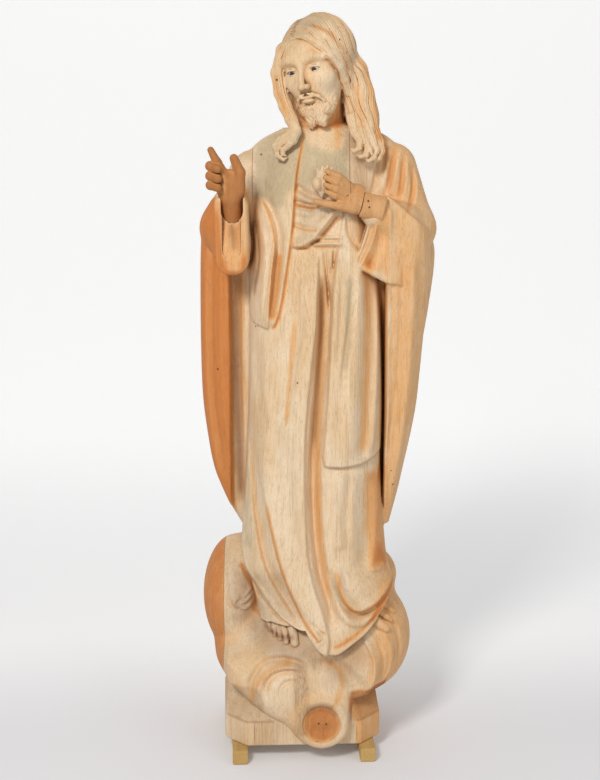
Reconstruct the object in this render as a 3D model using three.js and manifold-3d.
// A standing robed figure carved in wood. One hand is raised, the other holds a small heart
// on the chest, and the robes come down on a carved cloud and a chamfered plinth, which is
// held up by two battens.
//
// Millimetres: x to the viewer's right, y to the back, z up from the floor.
// The carving is described by distance functions, negative inside the wood, in the carving's
// own nominal millimetres. They are turned into meshes, thinned, joined to the plinth and
// cut where the hands, the heart and the glass eyes are set in.

import * as THREE from 'three';
import { mergeVertices } from 'three/addons/utils/BufferGeometryUtils.js';
import Module from 'manifold-3d';

const wasm = await Module();
wasm.setup();

// Driving dimensions of the figure
const FIGURE_HEIGHT = 1490;        // underside of the plinth to the crown
const FIGURE_TURN = 3;             // degrees that the figure is turned on its plinth

// Plinth, an octagonal slab with a tapering block above it
const PLINTH_WIDTH = 325;
const PLINTH_DEPTH = 310;
const PLINTH_SLAB = 50;
const PLINTH_HEIGHT = 125;
const PLINTH_TOP_WIDTH = 300;
const PLINTH_TOP_DEPTH = 286;
const CORNER_WIDTH = 43;
const CORNER_DEPTH = 50;
const TOP_CORNER = 1.9;            // how much wider the corners are cut at the block's top

// Battens under the plinth
const RUNNER_WIDTH = 32;
const RUNNER_HEIGHT = 30;
const RUNNER_SPACING = 264;        // middle to middle
const RUNNER_FRONT = 25;           // how far they stick out in front of the plinth
const RUNNER_BACK = 10;
const RUNNER_BEVEL = 2;

// Pieces that are set into the carving
const RIGHT_HAND_LENGTH = 150;     // wrist in the sleeve to the tip of the first finger
const LEFT_HAND_LENGTH = 108;      // joint line to the tip of the thumb
const WRIST_LENGTH = 46;           // of which part is inside the cuff
const WRIST_WIDTH = 50;
const WRIST_DEPTH = 32;
const HEART_HEIGHT = 70;           // point to the tip of the flame
const EYE_DIAMETER = 23;
const FIT_GAP = 0.4;               // room round each piece that is set in

// Fineness of the meshes, as the grid's cell and the triangles that are kept
const BODY_MESH = { cell: 10, triangles: 4200 };
const HEAD_MESH = { cell: 5.6, triangles: 2250 };
const SCROLL_MESH = { cell: 6, triangles: 260 };
const FOOT_MESH = { cell: 4.5, triangles: 260 };
const HAND_MESH = { cell: 4.5, triangles: 560 };
const HEART_MESH = { cell: 3.6, triangles: 220 };

// The carving is laid out at this height, with the plinth's underside at this level
const NOMINAL_HEIGHT = 1490;
const NOMINAL_BED = 30;
const CARVE = FIGURE_HEIGHT / NOMINAL_HEIGHT;

// Small helpers
const { min, max, abs, hypot, pow, sin, cos, atan2, PI } = Math;
const clamp = (value, low, high) => max(low, min(high, value));
const smoothstep = (low, high, value) => {
  const t = clamp((value - low) / (high - low), 0, 1);
  return t * t * (3 - 2 * t);
};

// Two forms that melt into each other over a width k, and one cut softly from another
const join = (a, b, k) => {
  const h = max(k - abs(a - b), 0) / k;
  return min(a, b) - h * h * k * 0.25;
};
const meet = (a, b, k) => -join(-a, -b, k);
const cut = (a, b, k) => -join(-a, b, k);

// Distance to an ellipsoid
function egg(x, y, z, [cx, cy, cz], [rx, ry, rz]) {
  const u = (x - cx) / rx;
  const v = (y - cy) / ry;
  const w = (z - cz) / rz;
  const k = hypot(u, v, w);
  const slope = hypot(u / rx, v / ry, w / rz);
  return slope < 1e-9 ? -min(rx, ry, rz) : k * (k - 1) / slope;
}

// Distance to a limb that narrows from one round end to the other
function limb(x, y, z, [ax, ay, az, ra], [bx, by, bz, rb]) {
  const dx = bx - ax;
  const dy = by - ay;
  const dz = bz - az;
  const along = ((x - ax) * dx + (y - ay) * dy + (z - az) * dz) / (dx * dx + dy * dy + dz * dz);
  const t = clamp(along, 0, 1);
  return hypot(x - ax - dx * t, y - ay - dy * t, z - az - dz * t) - ra - (rb - ra) * t;
}

// Distance to a chain of limbs through points that carry their own radius
function chain(x, y, z, points, k = 4) {
  let d = limb(x, y, z, points[0], points[1]);
  for (let i = 2; i < points.length; i++) {
    d = join(d, limb(x, y, z, points[i - 1], points[i]), k);
  }
  return d;
}

// Distance to an upright capsule outline in the plane of x and z
function pill(x, z, cx, low, high, r) {
  return hypot(x - cx, z - clamp(z, low, high)) - r;
}

// Distance to a closed outline of [x, z] corners, negative inside it
function outlineDistance(corners, x, z) {
  let best = Infinity;
  let inside = false;
  for (let s = 0, p = corners.length - 1; s < corners.length; p = s++) {
    const [ax, az] = corners[p];
    const [bx, bz] = corners[s];
    const ex = bx - ax;
    const ez = bz - az;
    const t = clamp(((x - ax) * ex + (z - az) * ez) / (ex * ex + ez * ez), 0, 1);
    best = min(best, hypot(x - ax - ex * t, z - az - ez * t));
    if ((az > z) !== (bz > z) && x < ax + (z - az) / ez * ex) inside = !inside;
  }
  return inside ? -best : best;
}

// The depth of a form's front face, found by stepping back towards it
function faceOf(field, x, z) {
  let y = -240;
  for (let d = 1; d > 0.3 && y < 100; y += d) d = max(field(x, y, z) * 0.7, 0.2);
  return y;
}

// A form given by stations up its height. Each station is its height, its left and right
// sides and its front and back, and the sections between them are rounded rectangles.
class Loft {
  constructor(roundness, stations) {
    this.n = roundness;
    this.low = stations[0][0];
    this.high = stations.at(-1)[0];
    this.step = 4;
    this.rows = [];
    for (let z = this.low; z <= this.high + this.step; z += this.step) {
      this.rows.push(Loft.between(stations, min(z, this.high)));
    }
  }

  // A smooth curve through the stations, with each slope taken from its two neighbours
  static between(stations, z) {
    let i = 0;
    while (i < stations.length - 2 && stations[i + 1][0] < z) i++;
    const [p, q] = [stations[i], stations[i + 1]];
    const before = stations[max(i - 1, 0)];
    const after = stations[min(i + 2, stations.length - 1)];
    const span = q[0] - p[0];
    const t = (z - p[0]) / span;
    return [1, 2, 3, 4].map((side) => {
      const startSlope = (q[side] - before[side]) / (q[0] - before[0]) * span;
      const endSlope = (after[side] - p[side]) / (after[0] - p[0]) * span;
      return (2 * t ** 3 - 3 * t ** 2 + 1) * p[side] + (t ** 3 - 2 * t ** 2 + t) * startSlope
        + (3 * t ** 2 - 2 * t ** 3) * q[side] + (t ** 3 - t ** 2) * endSlope;
    });
  }

  distance(x, y, z) {
    const at = clamp((z - this.low) / this.step, 0, this.rows.length - 1.001);
    const i = Math.floor(at);
    const t = at - i;
    const [p, q] = [this.rows[i], this.rows[i + 1]];
    const left = p[0] + (q[0] - p[0]) * t;
    const right = p[1] + (q[1] - p[1]) * t;
    const front = p[2] + (q[2] - p[2]) * t;
    const back = p[3] + (q[3] - p[3]) * t;
    const a = (right - left) / 2;
    const b = (back - front) / 2;
    const u = abs(x - (left + right) / 2) / a;
    const v = abs(y - (front + back) / 2) / b;
    const k = pow(pow(u, this.n) + pow(v, this.n), 1 / this.n);
    const slope = pow(k, 1 - this.n) * hypot(pow(u, this.n - 1) / a, pow(v, this.n - 1) / b);
    const side = k < 0.2 ? -min(a, b) * 0.8 : (k - 1) / slope;
    return max(side, this.low - z, z - this.high);
  }
}

// A relief is a map of heights over x and z that pushes a form's face out or in
class Relief {
  constructor([left, right], [low, high], step) {
    Object.assign(this, { left, low, step });
    this.columns = Math.ceil((right - left) / step) + 2;
    this.rows = Math.ceil((high - low) / step) + 2;
    this.heights = new Float32Array(this.columns * this.rows);
  }

  eachCell(points, reach, visit) {
    const bounds = new THREE.Box2().setFromPoints(points).expandByScalar(reach);
    const column = (x) => clamp(Math.round((x - this.left) / this.step), 0, this.columns - 1);
    const row = (z) => clamp(Math.round((z - this.low) / this.step), 0, this.rows - 1);
    for (let j = row(bounds.min.y); j <= row(bounds.max.y); j++) {
      for (let i = column(bounds.min.x); i <= column(bounds.max.x); i++) {
        const x = this.left + i * this.step;
        const z = this.low + j * this.step;
        this.heights[j * this.columns + i] += visit(x, z);
      }
    }
  }

  // A fold runs along a smooth line through the points. It slopes away over one width on the
  // right of its direction and over another on the left, and a narrow side is a sharp edge.
  fold(height, rightWidth, leftWidth, points, fade = 0.15) {
    const through = points.map(([x, z]) => new THREE.Vector2(x, z));
    const line = new THREE.SplineCurve(through).getPoints(4 * points.length);
    const last = line.length - 1;
    this.eachCell(line, max(rightWidth, leftWidth), (x, z) => {
      let best = Infinity;
      let side = 1;
      let place = 0;
      for (let s = 0; s < last; s++) {
        const ex = line[s + 1].x - line[s].x;
        const ez = line[s + 1].y - line[s].y;
        const t = clamp(((x - line[s].x) * ex + (z - line[s].y) * ez) / (ex * ex + ez * ez), 0, 1);
        const px = x - line[s].x - ex * t;
        const pz = z - line[s].y - ez * t;
        const d = px * px + pz * pz;
        if (d < best) {
          best = d;
          side = ex * pz - ez * px;
          place = (s + t) / last;
        }
      }
      const t = Math.sqrt(best) / (side > 0 ? leftWidth : rightWidth);
      if (t >= 1) return 0;
      const taper = smoothstep(0, fade, place) * smoothstep(1, 1 - fade, place);
      return height * taper * (1 - t * t) ** 2;
    });
  }

  // A layer is a flat region that stands out, with its edge eased over a soft width
  layer(height, soft, corners) {
    const points = corners.map(([x, z]) => new THREE.Vector2(x, z));
    this.eachCell(points, soft, (x, z) => height
      * smoothstep(soft, -soft, outlineDistance(corners, x, z)));
  }

  // Each height becomes the mean of itself and its neighbours along both axes
  soften(passes) {
    const { columns, heights } = this;
    for (let pass = 0; pass < passes; pass++) {
      for (const next of [1, columns]) {
        const from = heights.slice();
        for (let i = next; i < heights.length - next; i++) {
          heights[i] = (from[i - next] + 2 * from[i] + from[i + next]) / 4;
        }
      }
    }
  }

  at(x, z) {
    const column = clamp((x - this.left) / this.step, 0, this.columns - 1.001);
    const row = clamp((z - this.low) / this.step, 0, this.rows - 1.001);
    const i = Math.floor(column);
    const j = Math.floor(row);
    const [s, t] = [column - i, row - j];
    const k = j * this.columns + i;
    const lower = this.heights[k] * (1 - s) + this.heights[k + 1] * s;
    const upper = this.heights[k + this.columns] * (1 - s) + this.heights[k + this.columns + 1] * s;
    return lower * (1 - t) + upper * t;
  }
}

// Robe: the inner garment that hangs to the feet, from the hem to the neck
const robe = new Loft(2.3, [
  [200, -60, 150, -178, 90],
  [260, -86, 184, -168, 100],
  [345, -102, 198, -154, 108],
  [400, -122, 184, -147, 112],
  [480, -121, 176, -140, 115],
  [600, -113, 170, -136, 118],
  [745, -108, 172, -130, 120],
  [900, -106, 168, -120, 118],
  [1050, -102, 156, -104, 100],
  [1150, -92, 150, -96, 90],
  [1230, -70, 142, -84, 80],
  [1292, -34, 122, -58, 62],
]);

// Mantle: the wide outer garment that hangs from the shoulders behind the robe
const mantle = new Loft(2.7, [
  [430, -112, 176, 6, 118],
  [470, -136, 190, -6, 126],
  [514, -160, 203, -12, 132],
  [580, -185, 219, -18, 138],
  [645, -197, 236, -22, 142],
  [730, -208, 250, -26, 145],
  [837, -211, 258, -30, 147],
  [931, -211, 272, -34, 148],
  [1035, -209, 282, -40, 148],
  [1086, -203, 271, -46, 146],
  [1127, -192, 256, -52, 142],
  [1168, -168, 241, -56, 134],
  [1208, -134, 224, -58, 122],
  [1248, -103, 206, -54, 106],
  [1272, -76, 184, -46, 92],
  [1292, -36, 150, -34, 76],
]);

const BODY_SPAN = [[-230, 300], [180, 1310]];
const RELIEF_STEP = 3;
const RELIEF_SOFTENING = 4;
const robeFront = new Relief(...BODY_SPAN, RELIEF_STEP);
const mantleFront = new Relief(...BODY_SPAN, RELIEF_STEP);
const mantleBack = new Relief(...BODY_SPAN, RELIEF_STEP);
const cloudFront = new Relief([-230, 250], [0, 480], RELIEF_STEP);
const cuffFront = new Relief([90, 200], [970, 1170], RELIEF_STEP);

// Chest: the mantle's edge comes down over the tunic, and its turned-back flap lies beside it
function carveChest(r) {
  r.layer(10, 5, [[-96, 1160], [-88, 1168], [-66, 1125], [-55, 1085], [-57, 1000], [-66, 900],
    [-92, 903], [-106, 928], [-126, 958], [-126, 1000]]);
  r.fold(9, 60, 4, [[9, 1292], [-6, 1210], [-14, 1130], [-30, 1000], [-46, 925], [-58, 894]]);
  r.fold(9, 40, 5, [[-104, 1176], [-70, 1132], [-54, 1070], [-60, 970], [-66, 898]]);
  r.fold(-8, 7, 24, [[-80, 1155], [-50, 1090], [-48, 1000], [-58, 900]]);
  r.fold(-6, 8, 9, [[-98, 1140], [-86, 1080], [-84, 1030], [-94, 965]]);
  r.fold(-4, 14, 10, [[-112, 1200], [-80, 1188], [-58, 1160]]);
}

// Tunic: soft folds drawn up to the hand, a rolled sash and the gathers below the belt
function carveTunic(r) {
  r.fold(-5, 8, 11, [[-10, 1179], [12, 1163], [46, 1157]]);
  r.fold(5, 9, 6, [[-12, 1164], [15, 1151], [44, 1143]]);
  r.fold(-5, 5, 6, [[-14, 1149], [12, 1141], [36, 1136]]);
  r.fold(5, 4, 10, [[-14, 1140], [18, 1132], [74, 1141]]);
  r.fold(-5, 7, 12, [[-16, 1103], [10, 1095], [34, 1093]]);
  r.fold(11, 4, 34, [[-18, 1057], [12, 1065], [36, 1086], [62, 1115], [80, 1138]]);
  for (const height of [1075, 1064]) {
    r.fold(5, 5, 5, [[16, height], [48, height], [80, height]], 0.05);
  }
  const gathers = 7;
  for (let i = 0; i < gathers; i++) {
    const t = i / (gathers - 1);
    const top = -8 + 82 * t;
    const length = 70 + 70 * sin(PI * t);
    const foot = top + 10 * (0.4 - t);
    r.fold(-6, 5, 5, [[top, 1057], [(top + foot) / 2, 1057 - length / 2], [foot, 1057 - length]], 0.3);
  }
}

// Front panel of the mantle, from the left hand down to its hem
function carvePanel(r) {
  r.layer(9, 4, [[88, 1130], [76, 1060], [66, 1000], [61, 900], [56, 760], [47, 640], [50, 619],
    [85, 616], [122, 619], [168, 640], [174, 720], [174, 1000], [150, 1130]]);
  r.fold(-6, 12, 4, [[76, 1060], [67, 1000], [60, 900], [58, 820]]);
  r.fold(8, 24, 22, [[104, 1080], [113, 1000], [111, 900], [100, 740], [90, 622]]);
  r.fold(-10, 16, 10, [[140, 1000], [149, 900], [146, 800], [138, 700], [130, 630]]);
  r.fold(4, 7, 7, [[156, 980], [158, 850], [155, 740], [148, 634]]);
  r.fold(-8, 7, 7, [[94, 1120], [100, 1080], [122, 1050]]);
}

// Skirt: one long ridge with a deep valley beside it, and the hollow beside the leg
function carveSkirt(r) {
  r.fold(15, 62, 5, [[34, 1052], [34, 930], [24, 840], [9, 680], [9, 540], [18, 410], [48, 310],
    [58, 262], [50, 222]], 0.06);
  r.fold(-22, 15, 27, [[40, 1010], [42, 900], [33, 760], [24, 620], [27, 500], [38, 400],
    [58, 325], [68, 275]], 0.12);
  r.fold(-16, 12, 26, [[-98, 700], [-97, 600], [-88, 500], [-66, 400], [-22, 325], [8, 290]], 0.2);
  r.fold(10, 4, 36, [[-96, 680], [-72, 548], [-45, 430], [-18, 352], [16, 288]]);
  r.fold(9, 9, 9, [[-110, 660], [-118, 520], [-120, 430], [-100, 370], [-40, 304], [20, 266],
    [46, 228]], 0.1);
  r.fold(-9, 7, 7, [[-96, 342], [-55, 308], [-20, 286], [12, 266]]);
  r.fold(-3, 10, 14, [[-12, 900], [-18, 830], [-22, 740]]);
  r.fold(4, 20, 24, [[-62, 880], [-70, 760], [-66, 640]]);
  r.fold(7, 18, 22, [[80, 612], [72, 520], [76, 440]]);
  r.fold(-8, 22, 20, [[118, 560], [108, 460], [116, 385], [136, 360]]);
}

// The sweep of the hem on the right, as rings round a pocket
function carveHemRings(r) {
  const rings = 5;
  for (let i = 0; i < rings; i++) {
    const out = 12.5 * i;
    const height = i % 2 === 0 ? 7 : -8;
    r.fold(height, 8, 8, [[66 - out * 0.2, 440 - out], [84 - out * 0.25, 372 - out],
      [112, 342 - out], [148, 343 - out * 0.9], [206, 378 - out * 0.7]], 0.12);
  }
}

// Wings of the mantle that show beside the robe
function carveWings(r) {
  for (const [x, height] of [[-200, 6], [-184, -6], [-168, 5], [-152, -4]]) {
    r.fold(height, 9, 9, [[x + 8, 1130], [x - 2, 960], [x, 740], [x + 26, 540]]);
  }
  r.fold(7, 5, 9, [[178, 1140], [178, 980], [180, 760], [176, 500]], 0.05);
  for (const [x, height] of [[200, -5], [222, 5], [240, -5]]) {
    r.fold(height, 11, 11, [[x, 1090], [x + 6, 940], [x - 4, 740], [x - 30, 540]]);
  }
  for (const [x, lean] of [[158, -10], [184, -12], [203, -2], [220, 2]]) {
    r.fold(-15, 8, 11, [[x + 6, 1268 - abs(x - 158) * 0.7], [x, 1200], [x + lean, 1140]]);
  }
}

// Mouth of the left cuff, a hollow between its far rim and its front lip
function carveCuff(r) {
  r.fold(-10, 8, 8, [[148, 1124], [143, 1109], [136, 1080], [128, 1056], [118, 1034], [115, 1022]]);
}

// Back: long folds that hang from the shoulders
function carveBack(r) {
  const folds = 9;
  for (let i = 0; i < folds; i++) {
    const t = i / (folds - 1) - 0.5;
    const depth = i % 2 === 0 ? -12 : 7;
    r.fold(depth, 22, 22, [[35 + 190 * t, 1190 - 90 * abs(t)], [35 + 330 * t, 1020],
      [35 + 370 * t, 760], [35 + 290 * t, 470]], 0.12);
  }
}

// Cloud: curling swirls, each a set of rings round a centre
function carveCloud(r) {
  const swirls = [[-31, 148, 76, 5, 0.1], [103, 181, 112, 6, -0.6]];
  for (const [x, z, reach, rings, start] of swirls) {
    for (let i = 1; i <= rings; i++) {
      const radius = reach * i / rings;
      const arc = [0, 0.35, 0.7, 1.05, 1.4].map((step) => {
        const turn = start + step;
        const a = PI * turn;
        return [x + radius * cos(a), z + radius * sin(a) * 0.95];
      });
      r.fold(i % 2 === 0 ? -4 : 4, 9, 9, arc, 0.2);
    }
  }
  for (let i = 0; i < 4; i++) {
    r.fold(6, 5, 5, [[-92, 352 - 6 * i], [-112, 345 - 8 * i], [-132, 326 - 5 * i]], 0.2);
  }
}

carveChest(robeFront);
carveTunic(robeFront);
carvePanel(robeFront);
carveSkirt(robeFront);
carveHemRings(robeFront);
carveWings(mantleFront);
carveBack(mantleBack);
carveCloud(cloudFront);
carveCuff(cuffFront);
for (const relief of [robeFront, mantleFront, mantleBack, cloudFront, cuffFront]) {
  relief.soften(RELIEF_SOFTENING);
}

// The lowest edge of the robe all round, given across its width
const HEM = [[-125, 400], [-101, 350], [-92, 310], [-85, 281], [-58, 285], [-20, 284], [11, 281],
  [27, 257], [40, 243], [52, 231], [77, 229], [108, 250], [129, 262], [156, 286], [162, 298],
  [188, 332], [197, 351], [210, 372]];
function hemHeight(x) {
  let i = 0;
  while (i < HEM.length - 2 && HEM[i + 1][0] < x) i++;
  const [[ax, az], [bx, bz]] = [HEM[i], HEM[i + 1]];
  return az + (bz - az) * clamp((x - ax) / (bx - ax), 0, 1);
}

function robeDistance(x, y, z) {
  const face = smoothstep(10, -50, y);
  const d = robe.distance(x, y + robeFront.at(x, z) * face, z);
  return meet(d, (hemHeight(x) - z) * 0.8, 8);
}

// The slot between the robe and the wing on the left
const SLOT = [[-125, -36, 1015, 5], [-135, -36, 930, 9], [-137, -32, 800, 9], [-134, -26, 640, 9],
  [-128, -14, 510, 6]];

function mantleDistance(x, y, z) {
  const front = mantleFront.at(x, z) * smoothstep(40, 0, y);
  const back = mantleBack.at(x, z) * smoothstep(60, 100, y);
  return mantle.distance(x, y + front - back, z);
}

// Right sleeve: the arm is bent up, and the cuff hangs open in the shape of a U
const RIGHT_ARM = [[-92, 8, 1196, 54], [-146, 6, 1090, 56], [-140, -50, 1062, 42]];
const CUFF = { x: -135.5, low: 1037, high: 1140, r: 33, front: -132, back: 0 };
const HOLE = { x: -134, low: 1131, high: 1240, r: 22, back: -62 };
const TROUGH = { x: -135, low: 1056, high: 1240, r: 19 };

function rightSleeve(x, y, z) {
  const arm = chain(x, y, z, RIGHT_ARM, 20);
  const lean = x + (z - 1090) * 0.02;
  let cuff = pill(lean, z, CUFF.x, CUFF.low, CUFF.high, CUFF.r);
  cuff = meet(cuff, max(CUFF.front - y, y - CUFF.back), 12);
  cuff = meet(cuff, z - 1168 - (x - CUFF.x) * 0.3, 8);
  return join(arm, cuff, 12);
}

function rightSleeveHollow(x, y, z) {
  const hole = max(pill(x, z, HOLE.x, HOLE.low, HOLE.high, HOLE.r), y - HOLE.back);
  const floor = -118 + abs(x - TROUGH.x) * 0.2 + clamp((1100 - z) * -0.25, -14, 14);
  const trough = max(pill(x, z, TROUGH.x, TROUGH.low, TROUGH.high, TROUGH.r), y - floor);
  return min(hole, trough);
}

// Left sleeve: the forearm crosses to the chest, and its wide cuff hangs below it
const LEFT_ARM = [[186, 6, 1212, 52], [226, -2, 1090, 50], [196, -58, 1098, 44], [152, -96, 1128, 32]];
const LEFT_CUFF = [[158, 1160], [138, 1112], [114, 1036], [114, 1018], [172, 986], [206, 980],
  [206, 1130], [182, 1152]];
const CUFF_FACE = -112;

function leftSleeve(x, y, z) {
  const arm = chain(x, y + mantleFront.at(x, z) * smoothstep(40, 0, y), z, LEFT_ARM, 18);
  const slope = max(x - 150, 0) * 0.42 + max(1090 - z, 0) * 0.06;
  const face = CUFF_FACE + slope - cuffFront.at(x, z);
  const cuff = meet(outlineDistance(LEFT_CUFF, x, z), max(face - y, y - 40), 8);
  return join(arm, cuff, 8);
}

// Sheet of the mantle that hangs from the left forearm. Its near edge is cut upright, and it
// ends at the top along the line of the elbow.
const SHEET = new Loft(2.6, [
  [470, 150, 190, -30, 60],
  [560, 150, 212, -46, 80],
  [700, 150, 240, -60, 90],
  [850, 146, 255, -70, 90],
  [1000, 142, 264, -90, 90],
  [1060, 140, 266, -100, 90],
  [1165, 140, 258, -108, 90],
]);
const SHEET_EDGE = 174;
const ELBOW = { x: 175, z: 1158, fall: 0.79 };

function sheetDistance(x, y, z) {
  const relief = mantleFront.at(x, z) * smoothstep(1060, 1000, z);
  const top = (z - ELBOW.z + (x - ELBOW.x) * ELBOW.fall) / hypot(1, ELBOW.fall);
  return meet(SHEET.distance(x, y + relief, z), max(SHEET_EDGE - x, top), 6);
}

// Head: the face is placed, turned, bowed and tilted as one. The cap of hair leans the other way.
const HEAD_PLACE = new THREE.Vector3(30, -30, 1423);
const HEAD_TURN = -22;
const HEAD_BOW = 14;
const HEAD_ROLL = -10;
const CROWN_PLACE = new THREE.Vector3(34, -30, 1424);
const CROWN_TURN = -18;
const CROWN_ROLL = 8;
const rad = THREE.MathUtils.degToRad;

function tilted(place, turned, rolled) {
  return new THREE.Matrix4().makeRotationZ(rad(turned))
    .multiply(new THREE.Matrix4().makeRotationX(rad(HEAD_BOW)))
    .multiply(new THREE.Matrix4().makeRotationY(rad(rolled)))
    .setPosition(place);
}

const headFrame = tilted(HEAD_PLACE, HEAD_TURN, HEAD_ROLL);
const intoHead = headFrame.clone().invert().elements;
const intoCrown = tilted(CROWN_PLACE, CROWN_TURN, CROWN_ROLL).invert().elements;

// Eye centres and the forms of the face, in the head's own frame: x right, y back, z up.
// The face follows the usual canon, eyes at half height, and the nose and the mouth at thirds.
const EYE_APART = 24;
const EYE_DEEP = -60;
const EYE_LEVEL = -4;
const EYE_R = EYE_DIAMETER / 2 / CARVE;

function face(u, v, w) {
  const m = abs(u);
  let d = egg(u, v, w, [0, 4, 8], [67, 83, 78]);
  d = join(d, egg(u, v, w, [0, -22, -44], [49, 56, 58]), 22);
  d = join(d, egg(m, v, w, [32, -50, -26], [20, 20, 20]), 14);
  d = join(d, limb(m, v, w, [8, -77, 12, 7], [42, -64, 13, 7]), 9);
  d = cut(d, egg(m, v, w, [EYE_APART, -82, EYE_LEVEL], [15, 14, 10]), 8);
  d = join(d, limb(u, v, w, [0, -76, 4, 7], [0, -96, -30, 8]), 7);
  d = join(d, egg(m, v, w, [8, -87, -34], [6, 8, 6]), 5);
  const lid = hypot(m - EYE_APART, v - EYE_DEEP, w - EYE_LEVEL) - EYE_R - 3.2;
  const opening = hypot((m - EYE_APART) / 11, (w - EYE_LEVEL) / 4.6) - 1;
  d = join(d, max(lid, -opening * 4), 2);
  d = join(d, egg(u, v, w, [0, -78, -55], [19, 8, 4.5]), 4);
  d = join(d, egg(u, v, w, [0, -76, -63], [15, 8, 4.5]), 4);
  return d;
}

// Beard and moustache: a short forked beard in curling tufts
function beard(u, v, w) {
  const m = abs(u);
  let d = egg(u, v, w, [0, -44, -78], [44, 32, 34]);
  d = cut(d, egg(u, v, w, [0, -74, -50], [30, 34, 22]), 12);
  d = join(d, limb(m, v, w, [14, -62, -84, 17], [15, -58, -108, 11]), 10);
  d = join(d, limb(m, v, w, [42, -28, -40, 12], [30, -46, -78, 16]), 14);
  d = join(d, limb(m, v, w, [4, -85, -46, 5], [24, -74, -62, 5]), 4);
  const tufts = sin(w * 0.42 + sin(m * 0.3) * 1.6) * cos(m * 0.38);
  return d + tufts * 1.6;
}

// Hair: parted over the brow, drawn back over the ears and falling to the shoulders
const STRANDS = 26;
const HAIR_LEFT = [[-40, -52, 1432, 18], [-44, -56, 1386, 17], [-34, -60, 1341, 15],
  [-17, -64, 1304, 12], [-4, -78, 1287, 9], [-20, -86, 1276, 8], [-39, -84, 1264, 8],
  [-44, -84, 1249, 7], [-31, -86, 1231, 4]];
const HAIR_RIGHT = [[92, -8, 1440, 28], [112, -14, 1397, 28], [119, -22, 1348, 27],
  [128, -34, 1300, 30], [134, -48, 1268, 26]];
const CURL_TIPS = [
  [[122, -66, 1272, 14], [112, -82, 1252, 10], [120, -86, 1240, 6]],
  [[134, -66, 1262, 14], [131, -84, 1238, 10], [140, -84, 1224, 6]],
  [[148, -58, 1264, 13], [157, -70, 1244, 9], [152, -76, 1226, 5]],
];
const HAIR_BACK = [[40, 30, 1440, 60], [48, 52, 1350, 58], [56, 60, 1268, 54]];
const NECK = [[46, 6, 1250, 52], [36, -8, 1372, 50]];

function hairCap(u, v, w, window) {
  const swept = atan2(w - 2, -(v - 14));
  const shell = egg(u, v, w, [0, 8, 9], [75, 93, 84]);
  const strand = cos(swept * STRANDS) * 1.7;
  const parting = hypot(u + 6, max(v - 20, 0)) < 40 ? 3.5 * smoothstep(7, 0, abs(u + 6)) : 0;
  return cut(shell + strand + parting * smoothstep(30, 70, w), window, 7);
}

function into(m, x, y, z) {
  return [m[0] * x + m[4] * y + m[8] * z + m[12],
    m[1] * x + m[5] * y + m[9] * z + m[13],
    m[2] * x + m[6] * y + m[10] * z + m[14]];
}

function headDistance(x, y, z) {
  const at = into(intoHead, x, y, z);
  let d = face(...at);
  d = join(d, beard(...at), 3);
  d = join(d, limb(x, y, z, ...NECK), 10);
  const window = egg(...at, [0, -100, -38], [60, 72, 102]);
  d = join(d, hairCap(...into(intoCrown, x, y, z), window), 2);
  const lockWave = cos(0.55 * (x + 0.3 * z)) * 1.2;
  d = join(d, chain(x, y, z, HAIR_LEFT, 5) + lockWave, 3);
  d = join(d, chain(x, y, z, HAIR_RIGHT, 16) + lockWave, 6);
  d = join(d, chain(x, y, z, HAIR_BACK, 30) + cos(0.3 * x) * 2, 10);
  for (const tip of CURL_TIPS) d = join(d, chain(x, y, z, tip, 5), 4);
  return d;
}

// Cloud: rounded lobes that swell out under the robe, and a mass in front of the plinth that
// narrows down to a scroll
const LOBES = [
  [[-140, 22, 305], [69, 108, 126]],
  [[-80, 66, 340], [80, 92, 100]],
  [[-128, 6, 168], [60, 132, 52]],
  [[10, 10, 214], [166, 172, 104]],
  [[125, 4, 220], [112, 140, 124]],
  [[40, 92, 345], [110, 78, 90]],
  [[118, 60, 336], [92, 92, 70]],
  [[-31, -66, 150], [90, 112, 82]],
];
const FRONT_MASS = [[-152, 205], [-146, 158], [-124, 142], [-93, 120], [-62, 100], [-35, 81], [-14, 52],
  [44, 34], [98, 50], [106, 90], [112, 124], [140, 132], [164, 165], [160, 210], [0, 225]];
const MASS_FACE = { z: 200, y: -160, lean: 0.18 };
const MASS_EDGE = 46;
const SCROLL = { x: 44, z: 87, r: 54, front: -188, back: -60, boss: 38.5, sunk: 5 };

function cloudDistance(x, y, z) {
  const yy = y + cloudFront.at(x, z) * smoothstep(20, -60, y);
  let d = egg(x, yy, z, ...LOBES[0]);
  for (let i = 1; i < LOBES.length; i++) d = join(d, egg(x, yy, z, ...LOBES[i]), 22);
  const face = MASS_FACE.y - (MASS_FACE.z - z) * MASS_FACE.lean;
  const mass = meet(outlineDistance(FRONT_MASS, x, z), max(face - yy, yy), MASS_EDGE);
  return join(d, mass, 24);
}

// Scroll: a round end with a sunk boss
function scrollDistance(x, y, z) {
  const away = hypot(x - SCROLL.x, z - SCROLL.z);
  const sunk = smoothstep(SCROLL.boss + 2, SCROLL.boss - 2, away) * (SCROLL.sunk - away * 0.06);
  return meet(away - SCROLL.r, max(SCROLL.front + sunk - y, y - SCROLL.back), 8);
}

// Feet: bare toes that come out from under the hem and lie on the cloud. Each toe is the place
// and the radius of its tip, and they all run back the same way.
const RIGHT_FOOT = { back: [5, 24],
  toes: [[-62, 270, 5.6], [-55, 260, 6], [-46, 255, 6.4], [-35, 251, 7.2], [-17, 251, 10.4]] };
const LEFT_FOOT = { back: [-20, 15],
  toes: [[182, 271, 10], [190, 280, 7.2], [195, 293, 6.4], [198, 303, 5.4]] };

function toePaths({ back, toes }) {
  return toes.map(([tipX, tipZ, r]) => [0, 0.5, 1, 2].map((step) => {
    const [x, z] = [tipX + back[0] * step, tipZ + back[1] * step];
    return [x, faceOf(cloudDistance, x, z) - r * 0.35, z, r * (1 + 0.08 * step)];
  }));
}

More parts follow.
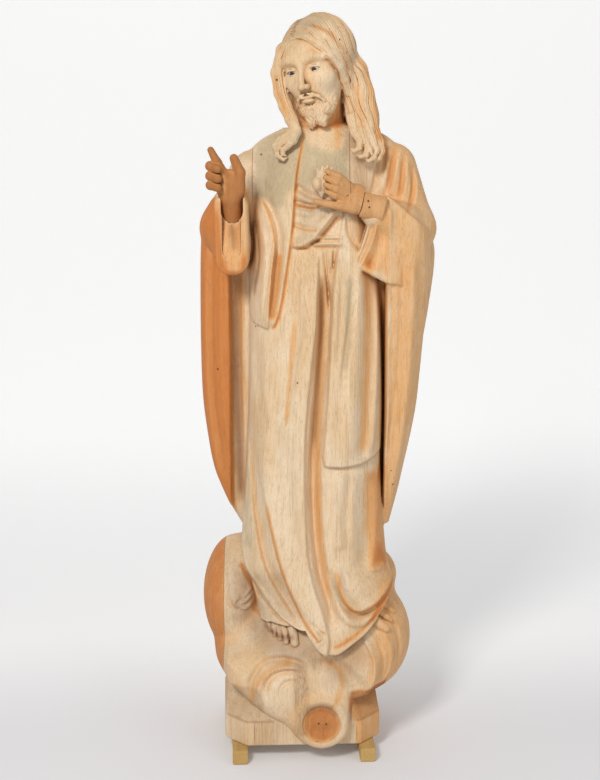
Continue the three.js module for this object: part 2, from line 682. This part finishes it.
const RIGHT_TOES = toePaths(RIGHT_FOOT);
const LEFT_TOES = toePaths(LEFT_FOOT);

function foot(x, y, z, toes) {
  let d = chain(x, y, z, toes[0], 3);
  for (let i = 1; i < toes.length; i++) d = join(d, chain(x, y, z, toes[i], 3), 1.5);
  return d;
}

// Robes and cloud, each reckoned only over the heights that it can reach
const REACH = {
  mantle: [400, Infinity],
  robe: [180, 1330],
  sheet: [440, 1200],
  sleeves: [900, Infinity],
  slot: [490, 1030],
  cloud: [-Infinity, 520],
};
const reaches = ([low, high], z) => z > low && z < high;

function bodyDistance(x, y, z) {
  let d = 1e3;
  if (reaches(REACH.mantle, z)) d = min(d, mantleDistance(x, y, z));
  if (reaches(REACH.robe, z)) d = join(d, robeDistance(x, y, z), 6);
  if (reaches(REACH.sheet, z)) d = join(d, sheetDistance(x, y, z), 5);
  if (reaches(REACH.sleeves, z)) {
    d = join(d, leftSleeve(x, y, z), 6);
    d = join(d, rightSleeve(x, y, z), 5);
    d = max(d, -rightSleeveHollow(x, y, z));
  }
  if (reaches(REACH.slot, z)) d = cut(d, chain(x, y, z, SLOT), 8);
  if (reaches(REACH.cloud, z)) d = join(d, cloudDistance(x, y, z), 3);
  return d;
}

// Hands: a palm with jointed fingers
const NOMINAL_RIGHT_HAND = 150;
const RIGHT_WRIST = [-134, -108, 1112];
function rightHand(x, y, z) {
  let d = limb(x, y, z, [-134, -100, 1118, 18], [-137, -116, 1154, 19]);
  d = join(d, egg(x, y, z, [-138, -122, 1180], [27, 17, 33]), 12);
  d = join(d, chain(x, y, z, [[-122, -124, 1172, 15], [-118, -130, 1206, 11], [-129, -132, 1234, 8.5]]), 6);
  d = join(d, chain(x, y, z, [[-149, -126, 1200, 12], [-162, -134, 1226, 9], [-174, -134, 1250, 6.5]]), 5);
  for (const [level, r] of [[1219, 9.5], [1200, 9.5], [1182, 9]]) {
    const curl = [[-156, -122, level - 4, r], [-175, -134, level, r], [-160, -146, level - 5, r - 1]];
    d = join(d, chain(x, y, z, curl, 3), 2.5);
  }
  return d;
}

const NOMINAL_LEFT_HAND = 108;
const LEFT_JOINT = [122, -120, 1147];
function leftHand(x, y, z) {
  let d = egg(x, y, z, [100, -116, 1156], [34, 17, 32]);
  d = join(d, limb(x, y, z, [112, -116, 1148, 21], [140, -116, 1140, 21]), 10);
  const fingers = [
    [[90, -122, 1184, 10], [68, -130, 1200, 9], [46, -126, 1208, 7]],
    [[84, -126, 1172, 10], [66, -134, 1185, 8.5], [48, -128, 1190, 7]],
    [[82, -126, 1162, 9.5], [64, -134, 1171, 8], [50, -128, 1175, 6.5]],
    [[82, -124, 1152, 9], [66, -131, 1158, 7.5], [52, -126, 1161, 6]],
  ];
  for (const finger of fingers) d = join(d, chain(x, y, z, finger, 3), 2.5);
  const thumb = [[104, -124, 1138, 13], [74, -130, 1143, 10], [46, -124, 1147, 7.5],
    [28, -118, 1150, 5]];
  d = join(d, chain(x, y, z, thumb), 5);
  const across = (x - LEFT_JOINT[0]) * 0.97 - (z - LEFT_JOINT[2]) * 0.24;
  return max(d, across);
}

// Heart: two rounded lobes over a point, with a small crown of flame
const NOMINAL_HEART = 70;
const HEART_PLACE = [43, -106, 1180];
function heart(x, y, z) {
  const u = abs(x - HEART_PLACE[0]);
  const v = y - HEART_PLACE[1];
  const w = z - HEART_PLACE[2];
  let d = egg(u, v, w, [7.5, 0, 6], [11, 13, 13]);
  d = join(d, limb(u, v, w, [5, 0, 2, 10], [0, 0, -20, 3]), 6);
  for (const [lean, rise, r] of [[-8, 34, 4], [0, 44, 5], [9, 38, 4.5], [17, 32, 3.5]]) {
    const base = [lean * 0.5, 0, 14, r + 3];
    const tip = [lean, 0, rise - r * 0.4, r * 0.4];
    d = join(d, limb(x - HEART_PLACE[0], v, w, base, tip), 3);
  }
  return d;
}

// From a field to a mesh: the grid's cells are cut in six tetrahedra each, and every edge that
// leaves the wood carries one vertex, so the surface is always closed
const TETRAHEDRA = [[1, 3, 7], [3, 2, 7], [2, 6, 7], [6, 4, 7], [4, 5, 7], [5, 1, 7]]
  .map(([a, b, c]) => [0, a, b, c]);
const PAIRS = { 3: [0, 1, 2, 3], 5: [0, 2, 3, 1], 9: [0, 3, 1, 2], 6: [1, 2, 0, 3],
  10: [1, 3, 2, 0], 12: [2, 3, 0, 1] };
const SINGLES = { 1: [0, 1, 2, 3], 2: [1, 0, 3, 2], 4: [2, 3, 0, 1], 8: [3, 2, 1, 0] };

function surface(field, xs, ys, zs) {
  const [nx, ny, nz] = [xs.length, ys.length, zs.length];
  const layer = nx * ny;
  const values = new Float32Array(layer * nz);
  for (let k = 0, i = 0; k < nz; k++) {
    for (let j = 0; j < ny; j++) {
      for (let l = 0; l < nx; l++) values[i++] = field(xs[l], ys[j], zs[k]);
    }
  }
  const corner = [0, 1, nx, nx + 1, layer, layer + 1, layer + nx, layer + nx + 1];
  const spanOf = new Map(corner.map((step, span) => [step, span]));
  const onEdge = new Int32Array(values.length * 8).fill(-1);
  const positions = [];
  const triangles = [];
  const vertex = (a, b) => {
    const [p, q] = a < b ? [a, b] : [b, a];
    const key = p * 8 + spanOf.get(q - p);
    if (onEdge[key] < 0) {
      const t = clamp(values[p] / (values[p] - values[q]), 0.06, 0.94);
      const along = (grid, i, j) => grid[i] * (1 - t) + grid[j] * t;
      onEdge[key] = positions.length / 3;
      positions.push(along(xs, p % nx, q % nx),
        along(ys, Math.floor(p / nx) % ny, Math.floor(q / nx) % ny),
        along(zs, Math.floor(p / layer), Math.floor(q / layer)));
    }
    return onEdge[key];
  };
  const at = [0, 0, 0, 0];
  for (let k = 0; k < nz - 1; k++) {
    for (let j = 0; j < ny - 1; j++) {
      for (let l = 0; l < nx - 1; l++) {
        const base = (k * ny + j) * nx + l;
        let inside = 0;
        for (let c = 0; c < 8; c++) inside += values[base + corner[c]] < 0 ? 1 : 0;
        if (inside === 0 || inside === 8) continue;
        for (const tetrahedron of TETRAHEDRA) {
          let mask = 0;
          for (let c = 0; c < 4; c++) {
            at[c] = base + corner[tetrahedron[c]];
            mask |= values[at[c]] < 0 ? 1 << c : 0;
          }
          if (mask === 0 || mask === 15) continue;
          const [a, b, c, d] = (SINGLES[mask] ?? SINGLES[15 - mask] ?? PAIRS[mask]).map((i) => at[i]);
          if (SINGLES[mask]) {
            triangles.push(vertex(a, b), vertex(a, c), vertex(a, d));
          } else if (SINGLES[15 - mask]) {
            triangles.push(vertex(a, b), vertex(a, d), vertex(a, c));
          } else {
            const [ac, ad, bd, bc] = [vertex(a, c), vertex(a, d), vertex(b, d), vertex(b, c)];
            triangles.push(ac, ad, bd, ac, bd, bc);
          }
        }
      }
    }
  }
  return { positions, triangles };
}

// A queue that always gives the cheapest entry first
class Queue {
  constructor(room) {
    this.cost = new Float64Array(room);
    this.item = new Int32Array(room);
    this.size = 0;
  }

  swap(i, j) {
    [this.cost[i], this.cost[j]] = [this.cost[j], this.cost[i]];
    [this.item[i], this.item[j]] = [this.item[j], this.item[i]];
  }

  put(cost, item) {
    let i = this.size++;
    this.cost[i] = cost;
    this.item[i] = item;
    while (i > 0 && this.cost[(i - 1) >> 1] > this.cost[i]) {
      this.swap(i, (i - 1) >> 1);
      i = (i - 1) >> 1;
    }
  }

  take() {
    const first = this.item[0];
    this.swap(0, --this.size);
    for (let i = 0; ;) {
      let least = i;
      for (let child = 2 * i + 1; child <= 2 * i + 2 && child < this.size; child++) {
        if (this.cost[child] < this.cost[least]) least = child;
      }
      if (least === i) return first;
      this.swap(i, least);
      i = least;
    }
  }
}

// Thinning: the edge whose loss changes the surface least is closed up, again and again.
// Each point carries the sum of the squared distances to the planes that met there.
const MOST_NEIGHBOURS = 22;        // round both ends of an edge that is closed up
function thin({ positions, triangles }, target, weightAt = () => 1) {
  const count = positions.length / 3;
  const P = Float64Array.from(positions);
  const T = Int32Array.from(triangles);
  const faces = Array.from({ length: count }, () => []);
  const planes = new Float64Array(count * 10);
  const age = new Int32Array(count);
  const n = [0, 0, 0];
  const normal = (a, b, c) => {
    const [ux, uy, uz] = [P[b] - P[a], P[b + 1] - P[a + 1], P[b + 2] - P[a + 2]];
    const [vx, vy, vz] = [P[c] - P[a], P[c + 1] - P[a + 1], P[c + 2] - P[a + 2]];
    n[0] = uy * vz - uz * vy;
    n[1] = uz * vx - ux * vz;
    n[2] = ux * vy - uy * vx;
    return Math.sqrt(n[0] * n[0] + n[1] * n[1] + n[2] * n[2]);
  };
  for (let f = 0; f < T.length; f += 3) {
    const a = T[f] * 3;
    const area = normal(a, T[f + 1] * 3, T[f + 2] * 3) || 1e-12;
    const plane = [n[0] / area, n[1] / area, n[2] / area, 0];
    plane[3] = -(plane[0] * P[a] + plane[1] * P[a + 1] + plane[2] * P[a + 2]);
    const weight = area * weightAt(P[a], P[a + 1], P[a + 2]);
    for (let corner = 0; corner < 3; corner++) {
      const v = T[f + corner];
      faces[v].push(f);
      for (let i = 0, slot = v * 10; i < 4; i++) {
        for (let j = i; j < 4; j++) planes[slot++] += plane[i] * plane[j] * weight;
      }
    }
  }

  const q = new Float64Array(10);
  const spot = new Float64Array(3);
  const det3 = (a, b, c, d, e, f, g, h, i) => a * (e * i - f * h) - b * (d * i - f * g) + c * (d * h - e * g);
  const costOf = (a, b) => {
    for (let i = 0; i < 10; i++) q[i] = planes[a * 10 + i] + planes[b * 10 + i];
    const [xx, xy, xz, x1, yy, yz, y1, zz, z1, one] = q;
    let long = 0;
    for (let i = 0; i < 3; i++) {
      spot[i] = (P[a * 3 + i] + P[b * 3 + i]) / 2;
      long += (P[a * 3 + i] - P[b * 3 + i]) ** 2;
    }
    const det = det3(xx, xy, xz, xy, yy, yz, xz, yz, zz);
    if (abs(det) > 4e-5 * (xx + yy + zz) ** 3) {
      const sx = -det3(x1, xy, xz, y1, yy, yz, z1, yz, zz) / det;
      const sy = -det3(xx, x1, xz, xy, y1, yz, xz, z1, zz) / det;
      const sz = -det3(xx, xy, x1, xy, yy, y1, xz, yz, z1) / det;
      const away = (sx - spot[0]) ** 2 + (sy - spot[1]) ** 2 + (sz - spot[2]) ** 2;
      if (away < long * 2) {
        spot[0] = sx;
        spot[1] = sy;
        spot[2] = sz;
      }
    }
    const [x, y, z] = spot;
    const error = x * (xx * x + 2 * (xy * y + xz * z + x1)) + y * (yy * y + 2 * (yz * z + y1))
      + z * (zz * z + 2 * z1) + one;
    return max(error, 0) + long * long * 1e-5;
  };

  const room = T.length * 5;
  const queue = new Queue(room);
  const ends = new Int32Array(room * 4);
  let offered = 0;
  const offer = (a, b) => {
    ends.set([a, b, age[a], age[b]], offered * 4);
    queue.put(costOf(a, b), offered++);
  };
  for (let f = 0; f < T.length; f += 3) {
    for (let i = 0; i < 3; i++) {
      const [a, b] = [T[f + i], T[f + (i + 1) % 3]];
      if (a < b) offer(a, b);
    }
  }

  const neighbours = (v) => {
    const ring = [];
    for (const f of faces[v]) {
      for (let i = 0; i < 3; i++) if (T[f + i] !== v && !ring.includes(T[f + i])) ring.push(T[f + i]);
    }
    return ring;
  };
  const before = [0, 0, 0];
  const turnsOver = (v, gone) => {
    for (const f of faces[v]) {
      if (T[f] === gone || T[f + 1] === gone || T[f + 2] === gone) continue;
      const [a, b, c] = [T[f] * 3, T[f + 1] * 3, T[f + 2] * 3];
      const oldSize = normal(a, b, c);
      [before[0], before[1], before[2]] = n;
      const [ox, oy, oz] = [P[v * 3], P[v * 3 + 1], P[v * 3 + 2]];
      P.set(spot, v * 3);
      const newSize = normal(a, b, c);
      P[v * 3] = ox;
      P[v * 3 + 1] = oy;
      P[v * 3 + 2] = oz;
      const dot = before[0] * n[0] + before[1] * n[1] + before[2] * n[2];
      if (newSize < 1e-6 || dot < 0.3 * oldSize * newSize) return true;
    }
    return false;
  };

  let left = T.length / 3;
  while (left > target && queue.size > 0) {
    const entry = queue.take() * 4;
    const [a, b] = [ends[entry], ends[entry + 1]];
    if (age[a] !== ends[entry + 2] || age[b] !== ends[entry + 3]) continue;
    const [ringA, ringB] = [neighbours(a), neighbours(b)];
    const shared = ringA.filter((v) => ringB.includes(v)).length;
    if (shared !== 2 || ringA.length + ringB.length > MOST_NEIGHBOURS) continue;
    costOf(a, b);
    if (turnsOver(a, b) || turnsOver(b, a)) continue;
    P.set(spot, a * 3);
    planes.set(q, a * 10);
    for (const f of faces[b]) {
      const seats = [T[f], T[f + 1], T[f + 2]];
      if (seats.includes(a)) {
        for (const v of seats) if (v !== b) faces[v].splice(faces[v].indexOf(f), 1);
        T.fill(-1, f, f + 3);
        left--;
      } else {
        T[f + seats.indexOf(b)] = a;
        faces[a].push(f);
      }
    }
    faces[b] = [];
    age[a]++;
    age[b]++;
    for (const v of neighbours(a)) offer(a, v);
  }

  const kept = new Map();
  const out = { positions: [], triangles: [] };
  for (const v of T) {
    if (v < 0) continue;
    if (!kept.has(v)) {
      kept.set(v, kept.size);
      out.positions.push(P[v * 3], P[v * 3 + 1], P[v * 3 + 2]);
    }
    out.triangles.push(kept.get(v));
  }
  return out;
}

// Evenly spaced grid lines over a range
function gridLines(low, high, step) {
  const count = Math.ceil((high - low) / step);
  return Array.from({ length: count + 1 }, (_, i) => low + (high - low) * i / count);
}

// Solids and geometries
function solidOf({ positions, triangles }) {
  return new wasm.Manifold(new wasm.Mesh({ numProp: 3, vertProperties: Float32Array.from(positions),
    triVerts: Uint32Array.from(triangles) }));
}

function solidFrom(geometry) {
  const bare = geometry.clone();
  bare.deleteAttribute('normal');
  bare.deleteAttribute('uv');
  const merged = mergeVertices(bare, 1e-4);
  return solidOf({ positions: merged.attributes.position.array, triangles: merged.index.array });
}

function geometryOf(solid) {
  const { vertProperties, triVerts } = solid.getMesh();
  const geometry = new THREE.BufferGeometry();
  geometry.setAttribute('position', new THREE.BufferAttribute(Float32Array.from(vertProperties), 3));
  geometry.setIndex(new THREE.BufferAttribute(Uint32Array.from(triVerts), 1));
  geometry.computeVertexNormals();
  return geometry;
}

// Carving coordinates to real ones, in the figure's own frame
const toReal = ({ positions, triangles }) => ({
  triangles,
  positions: positions.map((value, i) => (i % 3 === 2
    ? RUNNER_HEIGHT + (value - NOMINAL_BED) * CARVE : value * CARVE)),
});
const realPoint = ([x, y, z]) => toReal({ positions: [x, y, z] }).positions;

// A mesh scaled about a point
function scaledAbout(mesh, [cx, cy, cz], factor) {
  const centre = [cx, cy, cz];
  return {
    triangles: mesh.triangles,
    positions: mesh.positions.map((value, i) => centre[i % 3] + (value - centre[i % 3]) * factor),
  };
}

// The same mesh with each vertex moved outwards, which is the pocket that the piece sits in
function swollen({ positions, triangles }, gap) {
  const geometry = new THREE.BufferGeometry();
  geometry.setAttribute('position', new THREE.BufferAttribute(Float32Array.from(positions), 3));
  geometry.setIndex(triangles);
  geometry.computeVertexNormals();
  const normals = geometry.attributes.normal.array;
  return { triangles, positions: positions.map((value, i) => value + normals[i] * gap) };
}

// The ranges that hold all the balls [x, y, z, r], and some room round them
const rangesOf = (balls, room) => [0, 1, 2].map((axis) => [
  min(...balls.map((ball) => ball[axis] - ball[3])) - room,
  max(...balls.map((ball) => ball[axis] + ball[3])) + room,
]);

// A carved form within the ranges where it lies, at its real size
function carved(field, [xs, ys, zs], { cell, triangles }, weightAt) {
  const mesh = surface(field, gridLines(...xs, cell), gridLines(...ys, cell), gridLines(...zs, cell));
  return toReal(thin(mesh, triangles, weightAt));
}

// Plinth: octagonal rings stacked into one closed block, square to the battens
function plinthMesh() {
  const ring = (width, depth, z, cornerWidth, cornerDepth) => {
    const [w, d] = [width / 2, depth / 2];
    const [cw, cd] = [w - cornerWidth, d - cornerDepth];
    return [[-cw, -d], [cw, -d], [w, -cd], [w, cd], [cw, d], [-cw, d], [-w, cd], [-w, -cd]]
      .map(([x, y]) => new THREE.Vector3(x, y, z));
  };
  const slabTop = RUNNER_HEIGHT + PLINTH_SLAB;
  const rings = [
    ring(PLINTH_WIDTH, PLINTH_DEPTH, RUNNER_HEIGHT, CORNER_WIDTH, CORNER_DEPTH),
    ring(PLINTH_WIDTH, PLINTH_DEPTH, slabTop, CORNER_WIDTH, CORNER_DEPTH),
    ring(PLINTH_TOP_WIDTH, PLINTH_TOP_DEPTH, RUNNER_HEIGHT + PLINTH_HEIGHT,
      CORNER_WIDTH * TOP_CORNER, CORNER_DEPTH * TOP_CORNER),
  ];
  const upright = new THREE.Vector3(0, 0, 1);
  const positions = rings.flat()
    .flatMap((point) => point.applyAxisAngle(upright, rad(FIGURE_TURN)).toArray());
  const triangles = [];
  for (let level = 0; level < rings.length - 1; level++) {
    for (let i = 0; i < 8; i++) {
      const [a, b] = [level * 8 + i, level * 8 + (i + 1) % 8];
      triangles.push(a, b, b + 8, a, b + 8, a + 8);
    }
  }
  const top = (rings.length - 1) * 8;
  for (let i = 1; i < 7; i++) triangles.push(0, i + 1, i, top, top + i, top + i + 1);
  return { positions, triangles };
}

// Battens: bevelled bars that run from front to back
function runnerGeometry() {
  const [w, h, b] = [RUNNER_WIDTH / 2, RUNNER_HEIGHT - FIT_GAP, RUNNER_BEVEL];
  const section = new THREE.Shape([[-w, 0], [w, 0], [w, h - b], [w - b, h], [-w + b, h], [-w, h - b]]
    .map(([x, z]) => new THREE.Vector2(x, z)));
  const length = PLINTH_DEPTH + RUNNER_FRONT + RUNNER_BACK;
  const geometry = new THREE.ExtrudeGeometry(section, { depth: length, bevelEnabled: false, steps: 1 });
  geometry.rotateX(PI / 2);
  geometry.translate(0, PLINTH_DEPTH / 2 + RUNNER_BACK, 0);
  return geometry;
}

// Wrist stub: an oval bar along the line of the forearm
const WRIST_LEAN = rad(13.5);
const WRIST_SET = [4, -3];         // how far its middle lies behind and above the hand's joint
const WRIST_ROUND = 16;            // sides round it
function wristGeometry() {
  const oval = new THREE.EllipseCurve(0, 0, WRIST_WIDTH / 2, WRIST_DEPTH / 2);
  const section = new THREE.Shape(oval.getPoints(WRIST_ROUND).slice(0, -1));
  const geometry = new THREE.ExtrudeGeometry(section,
    { depth: WRIST_LENGTH, bevelEnabled: false, steps: 1 });
  geometry.rotateY(PI / 2);
  geometry.rotateY(WRIST_LEAN);
  return geometry;
}

// The ranges of x, y and z, in carving coordinates, that hold each form with room to spare
const BODY_ROOM = [[-232, 304], [-214, 182], [8, 1316]];
const HEAD_ROOM = [[-90, 196], [-150, 140], [1185, 1540]];
const SCROLL_ROOM = [[-16, 104], [-194, -54], [27, 147]];
const RIGHT_HAND_ROOM = [[-200, -95], [-175, -70], [1085, 1270]];
const LEFT_HAND_ROOM = [[10, 140], [-160, -80], [1105, 1232]];
const HEART_ROOM = [[10, 80], [-130, -84], [1145, 1240]];
const TOE_ROOM = 8;

// The thinning spares what faces the viewer, in front of this depth
const FRONT = -70;
const frontCounts = (x, y) => (y < FRONT ? 2 : 1);
const faceCounts = (x, y) => (y < FRONT ? 3 : 1);

// The pieces, in the figure's own frame
const body = carved(bodyDistance, BODY_ROOM, BODY_MESH, frontCounts);
const head = carved(headDistance, HEAD_ROOM, HEAD_MESH, faceCounts);
const scroll = carved(scrollDistance, SCROLL_ROOM, SCROLL_MESH);
const [rightFoot, leftFoot] = [RIGHT_TOES, LEFT_TOES].map((toes) => (
  carved((x, y, z) => foot(x, y, z, toes), rangesOf(toes.flat(), TOE_ROOM), FOOT_MESH)));

const rightHandMesh = scaledAbout(
  carved(rightHand, RIGHT_HAND_ROOM, HAND_MESH),
  realPoint(RIGHT_WRIST), RIGHT_HAND_LENGTH / NOMINAL_RIGHT_HAND / CARVE);
const leftHandMesh = scaledAbout(
  carved(leftHand, LEFT_HAND_ROOM, HAND_MESH),
  realPoint(LEFT_JOINT), LEFT_HAND_LENGTH / NOMINAL_LEFT_HAND / CARVE);
const heartMesh = scaledAbout(
  carved(heart, HEART_ROOM, HEART_MESH),
  realPoint(HEART_PLACE), HEART_HEIGHT / NOMINAL_HEART / CARVE);

// One piece's largest body, without crumbs that a cut may leave
const largest = (solid) => solid.decompose().sort((a, b) => b.volume() - a.volume())[0];
const meshOf = (solid) => {
  const { vertProperties, triVerts } = solid.getMesh();
  return { positions: Array.from(vertProperties), triangles: Array.from(triVerts) };
};
const pocketFor = (mesh) => solidOf(swollen(mesh, FIT_GAP));

const leftHandPocket = pocketFor(leftHandMesh);
const wristPlace = realPoint(LEFT_JOINT);
const wrist = wristGeometry();
wrist.translate(wristPlace[0], wristPlace[1] + WRIST_SET[0], wristPlace[2] + WRIST_SET[1]);
const wristSolid = largest(solidFrom(wrist).subtract(leftHandPocket));
const heartSolid = largest(solidOf(heartMesh).subtract(leftHandPocket));

const EYE_ROUND = 10;               // sides round each eye, and rows from pole to pole
const EYE_ROWS = 7;
const eyes = [-1, 1].map((side) => {
  const place = new THREE.Vector3(side * EYE_APART, EYE_DEEP, EYE_LEVEL).applyMatrix4(headFrame);
  const ball = (radius) => solidFrom(new THREE.SphereGeometry(radius, EYE_ROUND, EYE_ROWS)
    .rotateX(PI / 2).translate(...realPoint(place.toArray())));
  return { eye: ball(EYE_DIAMETER / 2), pocket: ball(EYE_DIAMETER / 2 + FIT_GAP) };
});

const under = new THREE.BoxGeometry(PLINTH_WIDTH * 3, PLINTH_DEPTH * 3, FIGURE_HEIGHT);
under.translate(0, 0, RUNNER_HEIGHT - FIGURE_HEIGHT / 2);
const pockets = [pocketFor(rightHandMesh), leftHandPocket, pocketFor(heartMesh),
  pocketFor(meshOf(wristSolid)), ...eyes.map(({ pocket }) => pocket)];
let statue = solidOf(body);
for (const mesh of [head, scroll, rightFoot, leftFoot]) statue = statue.add(solidOf(mesh));
statue = statue.subtract(solidFrom(under)).add(solidOf(plinthMesh()));
for (const pocket of pockets) statue = statue.subtract(pocket);

// The exported group: the plinth and its battens square to the axes, the figure turned on them
const group = new THREE.Group();
const figure = new THREE.Group();
figure.rotation.z = rad(-FIGURE_TURN);
group.add(figure);

function addPiece(parent, name, geometry, color, roughness) {
  const mesh = new THREE.Mesh(geometry, new THREE.MeshStandardMaterial({ color, roughness, metalness: 0 }));
  mesh.name = name;
  parent.add(mesh);
  return mesh;
}

addPiece(figure, 'statue', geometryOf(largest(statue)), 0xd9b184, 0.7);
addPiece(figure, 'right_hand', geometryOf(solidOf(rightHandMesh)), 0xc98a4c, 0.65);
addPiece(figure, 'left_hand', geometryOf(solidOf(leftHandMesh)), 0xcf9760, 0.65);
addPiece(figure, 'left_wrist', geometryOf(wristSolid), 0xcf9760, 0.65);
addPiece(figure, 'heart', geometryOf(heartSolid), 0xe8d2b4, 0.7);
['eye_left', 'eye_right'].forEach((name, i) => {
  addPiece(figure, name, geometryOf(eyes[i].eye), 0xf2efe8, 0.1);
});
[['runner_left', -1], ['runner_right', 1]].forEach(([name, side]) => {
  const runner = addPiece(group, name, runnerGeometry(), 0xc9a65f, 0.85);
  runner.position.x = side * RUNNER_SPACING / 2;
});

// The origin is under the middle of the whole, on the floor
group.updateMatrixWorld(true);
const middle = new THREE.Box3().setFromObject(group, true).getCenter(new THREE.Vector3());
for (const child of group.children) {
  child.position.x -= middle.x;
  child.position.y -= middle.y;
}

export default group;
